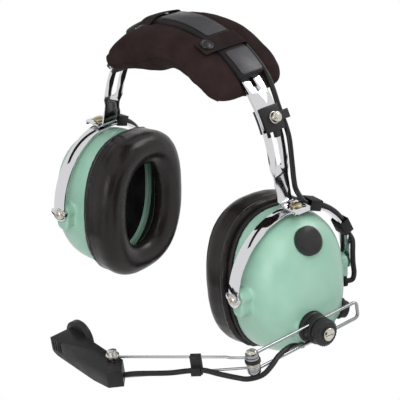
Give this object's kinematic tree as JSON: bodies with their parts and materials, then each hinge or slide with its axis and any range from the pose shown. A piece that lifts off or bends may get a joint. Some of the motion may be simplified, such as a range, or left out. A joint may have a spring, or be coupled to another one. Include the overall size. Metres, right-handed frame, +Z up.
{
  "type": "aviation headset",
  "caption": "Passive two-cup headset on a sprung steel bow, with padded crown, height straps, swivelling stirrups, gel ear seals, a volume knob and a wire boom microphone.",
  "frame": {"origin": "crown of the wearer's head, at the middle of the head pad's lower face", "axes": "+X towards the wearer's left, -Y forward, +Z up"},
  "size_m": [0.2583, 0.1798, 0.208],
  "materials": {
    "spring_steel": "polished, chromium plated",
    "fastener_steel": "nickel plated",
    "pivot_screw": "darkened brass",
    "rivet_brass": "bare brass",
    "boom_wire": "drawn stainless wire",
    "dome_plastic": "glossy pale green moulding",
    "black_plastic": "fine moulded black",
    "seal_vinyl": "glossy black vinyl over gel",
    "pad_fabric": "brown-black woven cover over foam",
    "sleeve_vinyl": "grey-black vinyl",
    "foam": "open-cell foam",
    "rubber_black": "satin",
    "cord_jacket": "satin jacket",
    "dark_metal": "dark enamel",
    "pot_metal": "die-cast"
  },
  "bodies": {
    "headband": {"headband_spring": "spring_steel", "headpad": "pad_fabric", "pad_sleeve": "sleeve_vinyl", "pad_tabs": "pad_fabric", "pad_snaps": "dark_metal", "clamp_block_left": "black_plastic", "clamp_block_right": "black_plastic", "clamp_plates": "black_plastic", "clamp_bolts": "fastener_steel", "clamp_nuts": "fastener_steel", "cord_bridge": "cord_jacket"},
    "strap_left": {"strap_left": "spring_steel", "swivel_rivet_left": "rivet_brass", "swivel_washer_left": "fastener_steel", "cord_strap_left": "cord_jacket"},
    "stirrup_left": {"stirrup_left": "spring_steel", "pivot_screws_left": "pivot_screw", "cord_ties_left": "rubber_black", "cord_stirrup_left": "cord_jacket"},
    "cup_left": {"dome_left": "dome_plastic", "seal_plate_left": "black_plastic", "ear_seal_left": "seal_vinyl", "foam_liner_left": "foam", "earphone_left": "dark_metal", "cord_grommet_left": "rubber_black", "cord_cup_left": "cord_jacket", "volume_pot": "pot_metal", "cord_gland": "rubber_black", "boom_base": "black_plastic", "boom_stud": "fastener_steel", "mic_cord_inner": "cord_jacket"},
    "strap_right": {"strap_right": "spring_steel", "swivel_rivet_right": "rivet_brass", "swivel_washer_right": "fastener_steel", "cord_strap_right": "cord_jacket"},
    "stirrup_right": {"stirrup_right": "spring_steel", "pivot_screws_right": "pivot_screw", "cord_ties_right": "rubber_black", "cord_stirrup_right": "cord_jacket"},
    "cup_right": {"dome_right": "dome_plastic", "seal_plate_right": "black_plastic", "ear_seal_right": "seal_vinyl", "foam_liner_right": "foam", "earphone_right": "dark_metal", "cord_grommet_right": "rubber_black", "cord_cup_right": "cord_jacket"},
    "volume_control": {"volume_knob": "black_plastic"},
    "boom_swivel": {"boom_hub": "black_plastic"},
    "boom_lock": {"boom_knob": "black_plastic"},
    "inner_boom": {"boom_loop": "boom_wire", "knuckle_post": "fastener_steel"},
    "outer_boom": {"knuckle_washers": "fastener_steel", "boom_wires": "boom_wire", "friction_ring": "rubber_black", "boom_clip": "black_plastic", "mic_cord_outer": "cord_jacket"},
    "microphone": {"mic_housing": "black_plastic", "mic_element": "foam", "mic_bolt": "fastener_steel"}
  },
  "joints": [
    {"name": "height_left", "type": "hinge", "parent": "headband", "child": "strap_left", "pos_m": [0, 0, -0.062], "axis": [0, -1, 0], "range_deg": [-8, 12], "deforming": ["cord_strap_left"]},
    {"name": "swivel_left", "type": "hinge", "parent": "strap_left", "child": "stirrup_left", "pos_m": [0.096, 0, -0.0755], "axis": [0, 0, 1], "range_deg": [-18, 18], "deforming": ["cord_strap_left", "cord_stirrup_left"]},
    {"name": "tilt_left", "type": "hinge", "parent": "stirrup_left", "child": "cup_left", "pos_m": [0.09251, 0.0003, -0.1265], "axis": [-0.0872, -0.9962, 0], "range_deg": [-14, 6], "deforming": ["cord_stirrup_left", "cord_cup_left"]},
    {"name": "height_right", "type": "hinge", "parent": "headband", "child": "strap_right", "pos_m": [0, 0, -0.062], "axis": [0, 1, 0], "range_deg": [-8, 12], "deforming": ["cord_strap_right"]},
    {"name": "swivel_right", "type": "hinge", "parent": "strap_right", "child": "stirrup_right", "pos_m": [-0.096, 0, -0.0755], "axis": [0, 0, -1], "range_deg": [-18, 18], "deforming": ["cord_strap_right", "cord_stirrup_right"]},
    {"name": "tilt_right", "type": "hinge", "parent": "stirrup_right", "child": "cup_right", "pos_m": [-0.09254, 0.00055, -0.1265], "axis": [-0.1564, 0.9877, 0], "range_deg": [-9, 12], "deforming": ["cord_stirrup_right", "cord_cup_right"]},
    {"name": "volume_turn", "type": "hinge", "parent": "cup_left", "child": "volume_control", "pos_m": [0.10976, -0.00421, -0.09216], "axis": [0.811, -0.071, 0.5807], "range_deg": [-200, 80]},
    {"name": "boom_swing", "type": "hinge", "parent": "cup_left", "child": "boom_swivel", "pos_m": [0.12576, -0.00813, -0.14735], "axis": [0.9916, -0.0868, 0.0958], "range_deg": [-35, 50], "deforming": ["mic_cord_inner"]},
    {"name": "boom_lock_turn", "type": "hinge", "parent": "cup_left", "child": "boom_lock", "pos_m": [0.1328, -0.00874, -0.14667], "axis": [0.9916, -0.0868, 0.0958], "range_deg": [-20, 270]},
    {"name": "boom_slide", "type": "slide", "parent": "boom_swivel", "child": "inner_boom", "axis": [-0.0767, -0.9916, -0.104], "range_m": [-0.015, 0.016], "deforming": ["mic_cord_inner"]},
    {"name": "boom_knuckle", "type": "hinge", "parent": "inner_boom", "child": "outer_boom", "pos_m": [0.12162, -0.06167, -0.15297], "axis": [0.1041, 0.0958, -0.9899], "range_deg": [-45, 15], "deforming": ["mic_cord_inner", "mic_cord_outer"]},
    {"name": "mic_turn", "type": "hinge", "parent": "outer_boom", "child": "microphone", "pos_m": [0.04974, -0.11433, -0.16562], "axis": [0.1041, 0.0958, -0.9899], "range_deg": [-45, 35], "deforming": ["mic_cord_outer"]}
  ]
}
